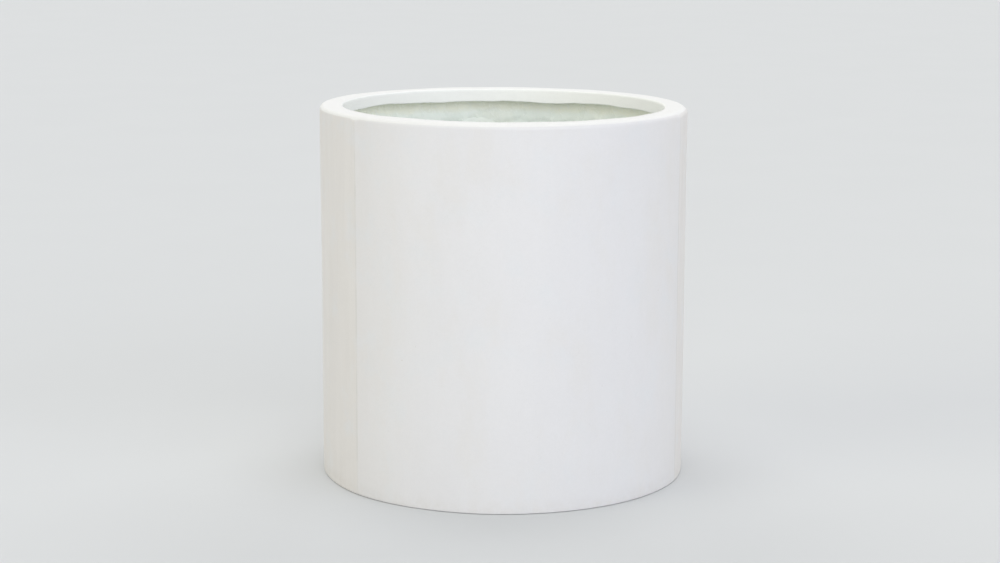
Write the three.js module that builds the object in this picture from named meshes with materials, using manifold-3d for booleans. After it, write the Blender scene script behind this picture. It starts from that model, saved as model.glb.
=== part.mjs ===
// A round planter in hand-laid fibreglass: three moulded wall panels with an in-turned foot,
// a rolled rim ring with a return lip, a base pan with a drain channel, laminate tapes over the
// joints, rubber drain plugs and rubber foot pads.
//
// Millimetres. Z is up, the floor is z = 0 and the planter's axis is the Z axis. The front faces -Y.
// Angles round the axis are in degrees from the front, positive towards +X.

import * as THREE from 'three';
import { mergeVertices } from 'three/addons/utils/BufferGeometryUtils.js';
import Module from 'manifold-3d';

const wasm = await Module();
wasm.setup();

// Overall sizes
const OUTER_DIAMETER = 600;
const BODY_HEIGHT = 606; // from the foot of the wall to the top of the rim
const FOOT_LIFT = 2; // from the floor to the foot of the wall

// Laminates and joints
const WALL_THICKNESS = 5;
const TAPE_THICKNESS = 3;
const JOINT_GAP = 0.3; // the glue line between two pieces
const SEAM_COUNT = 3;
const FIRST_SEAM_ANGLE = -50.5;
const SEAM_TAPE_WIDTH = 60;

// Rim ring
const RIM_WIDTH = 37; // from the outer face to the lip's inner face
const RIM_THICKNESS = 5;
const RIM_EDGE_RADIUS = 9;
const RIM_SKIRT_LAND = 5; // the straight part of the outer skirt, below its round edge
const LIP_DEPTH = 22;
const LIP_EDGE_RADIUS = 4;
const RIM_ROOT_FILLET = 3;
const RIM_TAPE_DEPTH = 50;

// Foot of the wall
const FOOT_WIDTH = 38; // from the outer face to the foot flange's free edge
const FOOT_EDGE_RADIUS = 3;
const FOOT_CORNER_FILLET = 6;

// Base pan
const BASE_THICKNESS = 5;
const BASE_RISE = 8; // the raised centre, above the drain channel
const BASE_SLOPE_WIDTH = 20;
const BASE_TAPE_LAP = 27;
const BASE_TAPE_HEIGHT = 48; // up the wall, from the pan's floor
const BASE_TAPE_COVE = 12;

// Drain holes and plugs
const DRAIN_COUNT = 3;
const DRAIN_DIAMETER = 25;
const DRAIN_CHANNEL_MARGIN = 10.5; // free channel floor on each side of a plug's flange
const PLUG_CLEARANCE = 0.4; // between the stem and its hole
const PLUG_FLANGE_LAP = 5.5;
const PLUG_FLANGE_THICKNESS = 3;
const PLUG_TAIL = 3; // below the pan's underside
const PLUG_TAPER = 1;
const PLUG_NECK_DIAMETER = 12;
const PLUG_NECK_HEIGHT = 3.5;
const PLUG_KNOB_DIAMETER = 16;
const PLUG_KNOB_HEIGHT = 5.5;
const PLUG_CHAMFER = 1;

// Foot pads
const PAD_COUNT = 6;
const PAD_EDGE_MARGIN = 3.5;
const PAD_CHAMFER = 0.5;

// Facets: a ring has a whole number of them between two seams
const FACETS_PER_PANEL = 30;
const SMALL_FACETS = 20;
const CORNER_FACETS = 4;

// Radii and heights that follow from the sizes above
const outerRadius = OUTER_DIAMETER / 2;
const innerRadius = outerRadius - WALL_THICKNESS;
const tapeOuterRadius = innerRadius - JOINT_GAP;
const tapeInnerRadius = tapeOuterRadius - TAPE_THICKNESS;
const footInnerRadius = outerRadius - FOOT_WIDTH;
const footTop = FOOT_LIFT + WALL_THICKNESS;
const rimTop = FOOT_LIFT + BODY_HEIGHT;
const skirtBottom = rimTop - RIM_EDGE_RADIUS - RIM_SKIRT_LAND;
const wallTop = skirtBottom - JOINT_GAP;
const lipRadius = outerRadius - RIM_WIDTH;
const rimTapeTop = rimTop - RIM_THICKNESS - RIM_ROOT_FILLET - JOINT_GAP;
const rimTapeBottom = rimTapeTop - RIM_TAPE_DEPTH;
const panRadius = innerRadius - FOOT_CORNER_FILLET - JOINT_GAP;
const panBottom = footTop + JOINT_GAP;
const panTop = panBottom + BASE_THICKNESS;
const baseTapeBottom = panTop + JOINT_GAP;
const baseTapeTop = panTop + BASE_TAPE_HEIGHT;
const baseTapeEdgeRadius = panRadius - BASE_TAPE_LAP;
const drainRadius = DRAIN_DIAMETER / 2;
const plugFlangeRadius = drainRadius + PLUG_FLANGE_LAP;
const channelWidth = 2 * (plugFlangeRadius + DRAIN_CHANNEL_MARGIN);
const channelInnerRadius = baseTapeEdgeRadius - channelWidth;
const drainCircleRadius = baseTapeEdgeRadius - channelWidth / 2;
const panelAngle = 360 / SEAM_COUNT;
const ringFacets = FACETS_PER_PANEL * SEAM_COUNT;

const COLOURS = {
  gelcoat: { color: 0xe9e9e6, roughness: 0.42, metalness: 0 },
  laminate: { color: 0xcdd5c6, roughness: 0.5, metalness: 0 },
  rubber: { color: 0x232323, roughness: 0.8, metalness: 0 },
};

function radians(degrees) {
  return THREE.MathUtils.degToRad(degrees);
}

// A point of a section: its distance from the axis and its height.
function at(radius, height) {
  return new THREE.Vector2(radius, height);
}

// The points of an arc in a section. Its angles are in degrees, from the outward direction upwards.
function arc(centreRadius, centreHeight, radius, fromAngle, toAngle) {
  return Array.from({ length: CORNER_FACETS + 1 }, (_, step) => {
    const angle = radians(fromAngle + ((toAngle - fromAngle) * step) / CORNER_FACETS);
    return at(centreRadius + radius * Math.cos(angle), centreHeight + radius * Math.sin(angle));
  });
}

// Merges a closed mesh's shared vertices and drops the flat triangles at its poles.
function weld(geometry) {
  geometry.deleteAttribute('normal');
  geometry.deleteAttribute('uv');
  const welded = mergeVertices(geometry);
  const corners = welded.index.array;
  const kept = [];
  for (let first = 0; first < corners.length; first += 3) {
    const [a, b, c] = corners.slice(first, first + 3);
    if (a !== b && b !== c && c !== a) {
      kept.push(a, b, c);
    }
  }
  welded.setIndex(kept);
  return welded;
}

// Turns an anticlockwise section about the Z axis. A ring's section closes on itself, and a
// solid disc's section starts and ends on the axis.
function revolve(section, facets, isRing) {
  const outline = isRing ? [...section, section[0]] : section;
  const geometry = new THREE.LatheGeometry(outline, facets, radians(FIRST_SEAM_ANGLE));
  geometry.rotateX(Math.PI / 2);
  return weld(geometry);
}

function toSolid(geometry) {
  const mesh = new wasm.Mesh({
    numProp: 3,
    vertProperties: new Float32Array(geometry.attributes.position.array),
    triVerts: new Uint32Array(geometry.index.array),
  });
  return new wasm.Manifold(mesh);
}

function toGeometry(solid) {
  const { vertProperties, triVerts } = solid.getMesh();
  const geometry = new THREE.BufferGeometry();
  geometry.setAttribute('position', new THREE.BufferAttribute(vertProperties, 3));
  geometry.setIndex(new THREE.BufferAttribute(triVerts, 1));
  return geometry;
}

// A point at an angle round the axis.
function around(radius, angle) {
  return at(radius * Math.sin(radians(angle)), -radius * Math.cos(radians(angle)));
}

// The part of a ring between two angles less than 180 degrees apart.
function sector(ring, fromAngle, toAngle) {
  const reach = 2 * outerRadius;
  const middleAngle = (fromAngle + toAngle) / 2;
  const corners = [fromAngle, middleAngle, toAngle].map((angle) => around(reach, angle));
  const wedge = new THREE.Shape([at(0, 0), ...corners]);
  const prism = new THREE.ExtrudeGeometry(wedge, { depth: 2 * rimTop, bevelEnabled: false });
  prism.translate(0, 0, -rimTop / 2);
  return toGeometry(toSolid(ring).intersect(toSolid(weld(prism))));
}

// The angle that a width takes up at the wall's inner face.
function angleOf(width) {
  return THREE.MathUtils.radToDeg(width / innerRadius);
}

// One wall panel, from its seam at FIRST_SEAM_ANGLE to the next one, with its in-turned foot.
function wallPanel() {
  const section = [
    at(footInnerRadius, FOOT_LIFT),
    ...arc(outerRadius - FOOT_EDGE_RADIUS, FOOT_LIFT + FOOT_EDGE_RADIUS, FOOT_EDGE_RADIUS, -90, 0),
    at(outerRadius, wallTop),
    at(innerRadius, wallTop),
    ...arc(innerRadius - FOOT_CORNER_FILLET, footTop + FOOT_CORNER_FILLET, FOOT_CORNER_FILLET, 0, -90),
    at(footInnerRadius, footTop),
  ];
  const halfGap = angleOf(JOINT_GAP) / 2;
  const nextSeamAngle = FIRST_SEAM_ANGLE + panelAngle;
  return sector(revolve(section, ringFacets, true), FIRST_SEAM_ANGLE + halfGap, nextSeamAngle - halfGap);
}

// The laminate strip inside the wall that bridges the seam at FIRST_SEAM_ANGLE.
function seamTape() {
  const bottom = baseTapeTop + JOINT_GAP;
  const top = rimTapeBottom - JOINT_GAP;
  const section = [
    at(tapeInnerRadius, bottom),
    at(tapeOuterRadius, bottom),
    at(tapeOuterRadius, top),
    at(tapeInnerRadius, top),
  ];
  const halfWidth = angleOf(SEAM_TAPE_WIDTH) / 2;
  const strip = revolve(section, ringFacets, true);
  return sector(strip, FIRST_SEAM_ANGLE - halfWidth, FIRST_SEAM_ANGLE + halfWidth);
}

// The rim: an outer skirt flush with the wall, a round outer edge, a flat top and a return lip.
function rimRing() {
  const underside = rimTop - RIM_THICKNESS;
  const lipBottom = rimTop - LIP_DEPTH;
  const lipBack = lipRadius + RIM_THICKNESS;
  const skirtBack = outerRadius - RIM_THICKNESS;
  const rootHeight = underside - RIM_ROOT_FILLET;
  const section = [
    at(skirtBack, skirtBottom),
    at(outerRadius, skirtBottom),
    ...arc(outerRadius - RIM_EDGE_RADIUS, rimTop - RIM_EDGE_RADIUS, RIM_EDGE_RADIUS, 0, 90),
    ...arc(lipRadius + LIP_EDGE_RADIUS, rimTop - LIP_EDGE_RADIUS, LIP_EDGE_RADIUS, 90, 180),
    at(lipRadius, lipBottom),
    at(lipBack, lipBottom),
    ...arc(lipBack + RIM_ROOT_FILLET, rootHeight, RIM_ROOT_FILLET, 180, 90),
    ...arc(skirtBack - RIM_ROOT_FILLET, rootHeight, RIM_ROOT_FILLET, 90, 0),
  ];
  return revolve(section, ringFacets, true);
}

// The laminate band inside that bonds the rim's skirt to the wall panels.
function rimTape() {
  const section = [
    at(tapeInnerRadius, rimTapeBottom),
    at(tapeOuterRadius, rimTapeBottom),
    at(tapeOuterRadius, rimTapeTop),
    at(tapeInnerRadius, rimTapeTop),
  ];
  return revolve(section, ringFacets, true);
}

function drainAngle(index) {
  return FIRST_SEAM_ANGLE + panelAngle / 2 + (360 / DRAIN_COUNT) * index;
}

// A drill for one drain hole, right through the pan.
function drainDrill(index) {
  const length = 4 * BASE_THICKNESS;
  const drill = new THREE.CylinderGeometry(drainRadius, drainRadius, length, SMALL_FACETS);
  const place = around(drainCircleRadius, drainAngle(index));
  drill.rotateX(Math.PI / 2);
  drill.translate(place.x, place.y, (panBottom + panTop) / 2);
  return toSolid(weld(drill));
}

// The pan rests on the foot flange. Its centre is raised, and its rim is a flat drain channel.
function basePan() {
  const slopeTopRadius = channelInnerRadius - BASE_SLOPE_WIDTH;
  const section = [
    at(0, panBottom + BASE_RISE),
    at(slopeTopRadius, panBottom + BASE_RISE),
    at(channelInnerRadius, panBottom),
    at(panRadius, panBottom),
    at(panRadius, panTop),
    at(channelInnerRadius, panTop),
    at(slopeTopRadius, panTop + BASE_RISE),
    at(0, panTop + BASE_RISE),
  ];
  let pan = toSolid(revolve(section, ringFacets, false));
  for (let index = 0; index < DRAIN_COUNT; index += 1) {
    pan = pan.subtract(drainDrill(index));
  }
  return toGeometry(pan);
}

// The laminate angle that bonds the pan to the wall, with a round cove in its corner.
function baseTape() {
  const lapTop = baseTapeBottom + TAPE_THICKNESS;
  const coveHeight = lapTop + BASE_TAPE_COVE;
  const section = [
    at(baseTapeEdgeRadius, baseTapeBottom),
    at(tapeInnerRadius, baseTapeBottom),
    at(tapeOuterRadius, lapTop),
    at(tapeOuterRadius, baseTapeTop),
    at(tapeInnerRadius, baseTapeTop),
    ...arc(tapeInnerRadius - BASE_TAPE_COVE, coveHeight, BASE_TAPE_COVE, 0, -90),
    at(baseTapeEdgeRadius, lapTop),
  ];
  return revolve(section, ringFacets, true);
}

// A tapered bung with a flange that rests on the pan and a knob to pull it by. Its origin is on
// the pan's top face, at the middle of the hole.
function drainPlug() {
  const stemRadius = drainRadius - PLUG_CLEARANCE;
  const tipRadius = stemRadius - PLUG_TAPER;
  const tip = -BASE_THICKNESS - PLUG_TAIL;
  const flangeTop = JOINT_GAP + PLUG_FLANGE_THICKNESS;
  const neckRadius = PLUG_NECK_DIAMETER / 2;
  const knobRadius = PLUG_KNOB_DIAMETER / 2;
  const knobTop = flangeTop + PLUG_NECK_HEIGHT + PLUG_KNOB_HEIGHT;
  const section = [
    at(0, tip),
    at(tipRadius - PLUG_CHAMFER, tip),
    at(tipRadius, tip + PLUG_CHAMFER),
    at(stemRadius, JOINT_GAP),
    at(plugFlangeRadius, JOINT_GAP),
    at(plugFlangeRadius, flangeTop - PLUG_CHAMFER),
    at(plugFlangeRadius - PLUG_CHAMFER, flangeTop),
    at(neckRadius, flangeTop),
    at(neckRadius, flangeTop + PLUG_NECK_HEIGHT),
    at(knobRadius, knobTop - PLUG_KNOB_HEIGHT / 2),
    at(knobRadius - PLUG_CHAMFER, knobTop),
    at(0, knobTop),
  ];
  return revolve(section, SMALL_FACETS, false);
}

// A round rubber pad under the foot flange.
function footPad() {
  const flatWidth = FOOT_WIDTH - FOOT_EDGE_RADIUS;
  const radius = flatWidth / 2 - PAD_EDGE_MARGIN;
  const top = FOOT_LIFT - JOINT_GAP;
  const section = [
    at(0, 0),
    at(radius - PAD_CHAMFER, 0),
    at(radius, PAD_CHAMFER),
    at(radius, top),
    at(0, top),
  ];
  return revolve(section, SMALL_FACETS, false);
}

const planter = new THREE.Group();

function add(name, geometry, finish) {
  const mesh = new THREE.Mesh(geometry, new THREE.MeshStandardMaterial(COLOURS[finish]));
  mesh.name = name;
  planter.add(mesh);
  return mesh;
}

// Places a copy at an angle on a circle about the axis.
function placeAround(mesh, radius, angle, height) {
  const place = around(radius, angle);
  mesh.position.set(place.x, place.y, height);
  mesh.rotation.z = radians(angle - FIRST_SEAM_ANGLE);
}

['wall_panel_front', 'wall_panel_right', 'wall_panel_left'].forEach((name, index) => {
  add(name, wallPanel(), 'gelcoat').rotation.z = radians(panelAngle * index);
});
['seam_tape_left', 'seam_tape_right', 'seam_tape_back'].forEach((name, index) => {
  add(name, seamTape(), 'laminate').rotation.z = radians(panelAngle * index);
});
add('rim_ring', rimRing(), 'gelcoat');
add('rim_tape', rimTape(), 'laminate');
add('base_pan', basePan(), 'laminate');
add('base_tape', baseTape(), 'laminate');

for (let index = 0; index < DRAIN_COUNT; index += 1) {
  const plug = add(`drain_plug_${index + 1}`, drainPlug(), 'rubber');
  placeAround(plug, drainCircleRadius, drainAngle(index), panTop);
}

for (let index = 0; index < PAD_COUNT; index += 1) {
  const pad = add(`foot_pad_${index + 1}`, footPad(), 'rubber');
  const padCircleRadius = outerRadius - (FOOT_WIDTH + FOOT_EDGE_RADIUS) / 2;
  placeAround(pad, padCircleRadius, FIRST_SEAM_ANGLE + (360 / PAD_COUNT) * (index + 0.5), 0);
}

export default planter;
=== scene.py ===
"""A round fibreglass planter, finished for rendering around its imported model.

Metres. Z is up, the floor is z = 0 and the planter's axis is the Z axis. The front faces -Y.
Angles round the axis start at the front and grow towards +X.
"""

import math

import bpy
import numpy as np
from mathutils import Matrix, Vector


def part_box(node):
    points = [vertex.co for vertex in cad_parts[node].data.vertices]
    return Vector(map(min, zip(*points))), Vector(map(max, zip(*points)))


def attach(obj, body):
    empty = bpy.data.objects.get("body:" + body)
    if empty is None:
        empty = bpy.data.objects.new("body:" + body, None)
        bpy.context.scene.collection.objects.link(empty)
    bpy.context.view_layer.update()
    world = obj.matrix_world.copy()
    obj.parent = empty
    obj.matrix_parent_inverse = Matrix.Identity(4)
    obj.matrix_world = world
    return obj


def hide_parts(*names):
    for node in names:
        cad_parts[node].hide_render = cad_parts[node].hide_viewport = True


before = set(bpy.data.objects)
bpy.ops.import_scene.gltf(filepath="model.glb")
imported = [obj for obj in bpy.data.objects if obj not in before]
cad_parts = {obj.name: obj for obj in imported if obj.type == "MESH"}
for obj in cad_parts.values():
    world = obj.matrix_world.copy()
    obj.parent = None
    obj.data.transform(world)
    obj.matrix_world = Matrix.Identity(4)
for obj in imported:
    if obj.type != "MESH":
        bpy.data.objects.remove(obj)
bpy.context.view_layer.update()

MM = 0.001
TINY = 0.05 * MM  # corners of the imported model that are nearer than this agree

# Seams of the three-part mould
SEAM_COUNT = 3
FIRST_SEAM = math.radians(-50.5)  # the left one
PANEL_TURN = 2 * math.pi / SEAM_COUNT
SEAM_RIDGE = 0.45 * MM  # the ground-down ridge stands this proud
SEAM_RIDGE_REACH = 16 * MM
SEAM_GROOVE = 0.3 * MM
SEAM_GROOVE_REACH = 1.3 * MM

# Foot, rim and lip
FOOT_ROUND = 1.6 * MM
FOOT_HEEL = 8 * MM  # the width of the bead round the foot, outside the pads
FOOT_DROP = 1.4 * MM
FOOT_EVENNESS = 0.2  # the share of the wall's relief that its underside keeps
FOOT_FILLET = 6 * MM
TRIM_ROUND = 1.2 * MM
RIM_LEAN = 1.2 * MM  # the rim's top is this much higher on the left and lower on the right
RIM_EDGE = 8.6 * MM
RIM_EDGE_LEAN = 1.4 * MM  # its outer edge is rounder on the right than on the left
RIM_EDGE_AT_SEAM = 3.2 * MM  # its outer edge is rounder by this at a seam
RIM_EDGE_SEAM_REACH = 9 * MM
LIP_EDGE = 3.6 * MM
RIM_ROOT = 3.5 * MM
# Where the lip's hand-trimmed edge dips or rises: angle and half width in degrees, and depth
LIP_DIPS = (
    (163, 7, 2.6 * MM),
    (140, 9, -1.2 * MM),
    (232, 12, -2.4 * MM),
    (197, 10, 0.5 * MM),
    (60, 14, 1.3 * MM),
    (5, 10, -1.1 * MM),
    (-48, 12, 1.5 * MM),
)

# Laminate tapes
TAPE_SINK = 0.8 * MM  # how far a tape's back sinks into what it is bonded to
TAPE_FEATHER = 9 * MM  # how far in from a torn edge a tape has its full thickness
TAPE_EDGE = 0.35 * MM  # its thickness at a torn edge
TAPE_LAP = 8 * MM  # how far a seam tape runs under the tapes at its ends
TORN_EDGE = 2.6 * MM
TORN_COARSE = 0.7  # the shares of long and short waves in a torn edge
TORN_FINE = 0.35
COVE_RADIUS = 13 * MM
SEAM_TAPE_WIDTH = 60 * MM
SEAM_TAPE_WANDER = 3.4  # a metre of its edge is as torn as this many radians of a ring's edge
RIM_TAPE_LOWER = 2 * MM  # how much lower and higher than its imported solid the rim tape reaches
RIM_TAPE_HIGHER = 1.5 * MM
EDGE_PULL = 3 * TAPE_FEATHER  # how far in from the base tape's edges their wander is felt

# The pan
PAN_SLOPE = 20 * MM  # the width of the slope from the raised centre down to the drain channel
PAN_ROUND = 14 * MM
HOLE_RADIUS = 12.5 * MM
HOLE_EASING = 1.2 * MM
EASING_BELLY = 0.3  # the share of the easing at the middle point of its round
DRILL_SPARE = 10 * MM
HOLE_LAND = 20 * MM  # the pan is even this near to a hole's axis
HOLE_LAND_FADE = 12 * MM
PAN_EDGE_FADE = 60 * MM
PAN_EDGE_SHARE = 0.1  # the share of its relief that the pan keeps at its edge
PAN_UNDER_SHARE = 0.3  # and on its underside

# Drain plugs. Pairs and fours are radii from the inside out
STEM_RADIUS = 12.1 * MM
STEM_TAPER = 1 * MM
STEM_HOLLOW = (7 * MM, 8 * MM)
STEM_HOLLOW_DEPTH = 1.5 * MM
FLANGE_CLEARANCE = 0.1 * MM
FLANGE_THICKNESS = 3.3 * MM
FLANGE_FALL = 0.1 * MM  # how much lower the flange is outside its raised ring
RING_EDGES = (12.6 * MM, 13 * MM, 15 * MM, 15.4 * MM)
RING_RISE = 0.6 * MM
NECK_RADIUS = 6 * MM
NECK_TAPER = 0.3 * MM
KNOB_RADIUS = 8 * MM
KNOB_HEIGHT = 3.8 * MM
KNOB_FLARE = 5.2 * MM  # the neck ends and the knob starts to flare this far below the top
KNOB_DIMPLE = (3 * MM, 4 * MM)
KNOB_DIMPLE_DEPTH = 0.9 * MM

# Foot pads
PAD_DIMPLE = (2.6 * MM, 3.3 * MM)
PAD_DIMPLE_DEPTH = 0.7 * MM
PAD_GROOVE = (7.2 * MM, 7.7 * MM, 8.9 * MM, 9.4 * MM)
PAD_GROOVE_DEPTH = 0.6 * MM
PAD_SINK = 0.4 * MM  # how far a pad goes up into the foot
FINE_ROUND = 0.2 * MM

# Surface relief
WALL_SWELL = 0.3 * MM
WALL_RIPPLE = 0.06 * MM
RIM_SWELL = 0.16 * MM
RIM_RIPPLE = 0.04 * MM
RIM_BACK_SHARE = 0.6  # the share of the laminate's relief on the rim's back
LIP_SWELL = 0.25 * MM
LIP_RIPPLE = 0.12 * MM
LAMINATE_LUMPS = 0.26 * MM
LAMINATE_RIPPLE = 0.13 * MM

# Random waves: how many go round the axis and how many into a metre of height, each as a lowest
# and a highest number, and how many are added up
WALL_SWELL_WAVES = ((2, 9), (0, 3), 14)
WALL_RIPPLE_WAVES = ((20, 70), (3, 16), 14)
RIM_SWELL_WAVES = ((3, 16), (0, 30), 14)
RIM_RIPPLE_WAVES = ((40, 90), (0, 60), 14)
LIP_SWELL_WAVES = ((8, 40), (0, 0), 14)
LIP_RIPPLE_WAVES = ((60, 160), (0, 0), 14)
TORN_COARSE_WAVES = ((12, 45), (0, 0), 14)
TORN_FINE_WAVES = ((70, 200), (0, 0), 14)
LUMP_WAVES = ((6, 60), (3, 32), 24)
LAMINATE_RIPPLE_WAVES = ((50, 120), (20, 50), 30)
# On the level pan: how many go into a metre, and how many are added up
PAN_LUMP_WAVES = ((8, 26), 40)
PAN_RIPPLE_WAVES = ((30, 60), 40)

# Seeds of the random waves. Each relief takes two, for its long and its short waves
SEEDS_EACH = 2
WALL_SEED = 11
INSIDE_SEED = 21
LIP_SEED = 31
RIM_TOP_SEED = 33
RIM_BACK_SEED = 35
RIM_TAPE_EDGE_SEED = 41
RIM_TAPE_SEED = 45
SEAM_TAPE_EDGE_SEED = 51
SEAM_TAPE_SEED = 65
BASE_TAPE_TOP_SEED = 71
BASE_TAPE_EDGE_SEED = 73
BASE_TAPE_SEED = 75
PAN_SEED = 81

# Meshes
COLUMN_STEP = 3.5 * MM
ROW_STEP = 5 * MM
SEAM_COLUMNS = (0, 0.5, 1, 1.6, 2.4, 3.6, 5.2, 7.4, 10)  # millimetres from a seam
ARC_STEPS = 6
SHARP_ANGLE = math.radians(50)
RIM_TAPE_ROWS = 22
SEAM_TAPE_COLUMNS = 27
SEAM_TAPE_STEP = 4 * MM
BASE_TAPE_STEP = 3 * MM
PAN_SEGMENTS = 420
RUBBER_SEGMENTS = 72
PLUG_STEP = 1.2 * MM
PAD_STEP = 1.5 * MM

# Colours, as linear values
FRONT_WHITE = (0.756, 0.753, 0.766, 1)
SIDE_WHITE = (0.752, 0.731, 0.71, 1)
# Painted light: the rim's and the lip's whites are lighter copies of the gelcoat's white, as if lit more
RIM_PAINTED_LIGHT_WHITE = (0.822, 0.822, 0.811, 1)
LIP_PAINTED_LIGHT_WHITE = (0.925, 0.928, 0.915, 1)
WARM_STAIN = (0.72, 0.69, 0.64, 1)
COOL_STAIN = (0.735, 0.752, 0.772, 1)
SEAM_GREY = (0.64, 0.632, 0.605, 1)
GRIME = (0.5, 0.46, 0.38, 1)
# The laminate's colours are lighter than its resin and glass, painted light for light shining through the
# translucent wall
RESIN_MINT_WITH_PAINTED_GLOW = (0.915, 0.962, 0.925, 1)
# Olive resin, also the painted tint of the shadow under the lip, kept light against the lip's own shade
OLIVE_RESIN_AND_PAINTED_SHADOW_TINT = (0.95, 0.955, 0.85, 1)
FIBRE_WHITE_WITH_PAINTED_GLOW = (0.945, 0.97, 0.945, 1)
# Painted highlight: the glints of brush strokes in the resin
RESIN_PAINTED_GLINT = (0.985, 0.99, 0.98, 1)
RUBBER_BLACK = (0.022, 0.022, 0.023, 1)
RUBBER_DUST = (0.12, 0.115, 0.105, 1)
FLOOR_GREY = (0.674, 0.688, 0.696)
BACKDROP = (0.731, 0.745, 0.753, 1)

# Noise: its size, or its sizes along three axes, then its detail and its roughness
CLOUDS = (140 * MM, 4.0, 0.6)
MOTTLE = (7 * MM, 4.0, 0.75)
GRAIN = (1.9 * MM, 1.0, 0.5)
STREAKS = ((20 * MM, 20 * MM, 260 * MM), 4.0, 0.6)
ORANGE_PEEL = (4.5 * MM, 2.0, 0.5)
PRINT_THROUGH = (20 * MM, 3.0, 0.6)  # the glass mat under the gelcoat
OLIVE_WANDER = (30 * MM, 3.0, 0.5)
RESIN_LUMPS = (9 * MM, 3.0, 0.5)
RUBBER_PORES = (0.9 * MM, 2.0, 0.5)

SCRATCH = (45 * MM, 1.3 * MM, 1.3 * MM)
DUST_MOST = 0.35

# Patches: noise, the two levels of it that they ease between, and their values at those levels
WARM_PATCHES = ((70 * MM, 70 * MM, 150 * MM), 5.0, 0.62, (0.46, 0.7), (0, 0.18))
COOL_PATCHES = (75 * MM, 5.0, 0.62, (0.5, 0.72), (0, 0.5))
SEAM_LINE_PATCHES = (45 * MM, 3.0, 0.5, (0.35, 0.62), (0.2, 0.6))
FOOT_DIRT = (22 * MM, 4.0, 0.7, (0.35, 0.75), (0, 0.16))
SCUFFS = (SCRATCH, 1.0, 0.5, (0.71, 0.76), (0, 1))
SCUFF_PLACES = (120 * MM, 2.0, 0.5, (0.56, 0.66), (0, 1))
GELCOAT_ROUGHNESS = (60 * MM, 4.0, 0.6, (0.3, 0.7), (0.36, 0.5))
OLIVE_PATCHES = (90 * MM, 4.0, 0.6, (0.5, 0.75), (0, 0.5))
STRANDS = ((50 * MM, 3.2 * MM, 3.2 * MM), 1.5, 0.5, (0.6, 0.74), (0, 1))
WET_PATCHES = (35 * MM, 3.0, 0.6, (0.4, 0.62), (0, 1))
BRUSH_MARKS = (SCRATCH, 1.0, 0.5, (0.66, 0.71), (0, 1))
BRUSHED_PLACES = (55 * MM, 2.0, 0.5, (0.5, 0.6), (0, 1))
DUST = (11 * MM, 4.0, 0.7, (0.45, 0.75), (0.02, DUST_MOST))
FINE_DUST = (1.2 * MM, 2.0, 0.5, (0.45, 0.7), (0, 0.18))
FLOOR_SHADES = (0.4, 3.0, 0.5, (0.2, 0.8), (0.995, 1.005))

# The directions of straight marks, as turns about x, y and z in radians
SCUFF_TURNS = ((0.3, 1.1, 0.5), (1.2, 0.4, 2.1), (2.3, 1.9, 0.9))
BRUSH_TURNS = ((0.4, 0.7, 0.2), (0.1, 0.9, 0.5))
STRAND_TURNS = (
    (0.0, 0.3, 0.2),
    (0.5, 1.2, 0.9),
    (1.1, 0.5, 1.7),
    (0.2, 2.0, 2.4),
    (1.9, 0.9, 0.4),
    (2.5, 1.5, 1.3),
    (0.9, 2.6, 2.9),
)

# Specks: spacing, size and the share of the places that have one
NIBS = (9 * MM, 0.9 * MM, 0.035)
PITS = (31 * MM, 1.5 * MM, 0.12)
BUBBLES = (12 * MM, 1.4 * MM, 0.12)
GRIT = (17 * MM, 2.1 * MM, 0.12)
SPECK_CORE = 0.4  # the share of a speck's size that has its full strength

# Gelcoat
PANEL_BLUR = 5 * MM  # half the width over which one panel's white turns into the next one's
LIP_PAINTED_LIGHT_DEPTHS = (3 * MM, 0.5 * MM)  # behind the lip's face, where its painted light fades in
LIP_PAINTED_LIGHT_DROPS = (60 * MM, 20 * MM)  # below the lip's edge, likewise
RIM_PAINTED_LIGHT_DROPS = (4.6 * MM, 3.4 * MM)  # below the rim's top, where its painted light fades in
RIM_PAINTED_LIGHT_DIP = 1.8 * MM  # the painted light reaches lower by this at a seam, a painted kink in the rim's highlight
RIM_PAINTED_LIGHT_DIP_REACH = 14 * MM
SEAM_STAIN = 0.4  # the share of the front panel's own white that is lost at its seams
SEAM_STAIN_REACH = 150 * MM
SEAM_LINE_EDGES = (3 * MM, 0.4 * MM)
# Painted shade: the gelcoat's white is darkened towards the floor
PAINTED_LOW_SHADE = 0.98  # how bright the wall is at the floor
PAINTED_LOW_SHADE_HEIGHT = 0.5  # and where it is fully bright
CLOUD_DEPTH = 0.04
MOTTLE_DEPTH = 0.052
GRAIN_DEPTH = 0.03
STREAK_DEPTHS = (0.1, 0.02)  # on the side panels and on the front one
FOOT_DIRT_HEIGHTS = (26 * MM, 1 * MM)
NIB_STRENGTH = 0.3
PIT_STRENGTH = 0.35
SCUFF_STRENGTH = 0.1
SCUFF_ROUGHNESS = 0.15
RIM_ROUGHNESS = 0.2
GELCOAT_IOR = 1.5
PEEL_HEIGHT = 0.03 * MM
PRINT_HEIGHT = 0.12 * MM
NICK_DEPTH = 0.05 * MM

# Laminate
OLIVE_DROPS = (26 * MM, 12 * MM)  # below the lip's edge, where the olive band fades in, a resin tint that also paints the lip's shadow
OLIVE_WANDER_DEPTH = 16 * MM
STRAND_STRENGTHS = (0.6, 0.2)  # in dry and in wet resin
LAMINATE_ROUGHNESS = (0.46, 0.2)  # likewise
STRAND_ROUGHNESS = 0.08
# how strongly the brush strokes' painted glints show
PAINTED_GLINT_STRENGTH = 0.7
BUBBLE_STRENGTH = 0.35
GRIT_STRENGTH = 0.75
LAMINATE_IOR = 1.55
STRAND_HEIGHT = 0.12 * MM
RESIN_LUMP_HEIGHT = 0.22 * MM
BUBBLE_HEIGHT = 0.25 * MM
BRUSH_HEIGHT = 0.08 * MM

# Rubber and floor
RUBBER_ROUGHNESS = (0.55, 0.8)  # clean and dusty
PORE_DEPTH = 0.05 * MM
FLOOR_ROUGHNESS = 0.9

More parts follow.
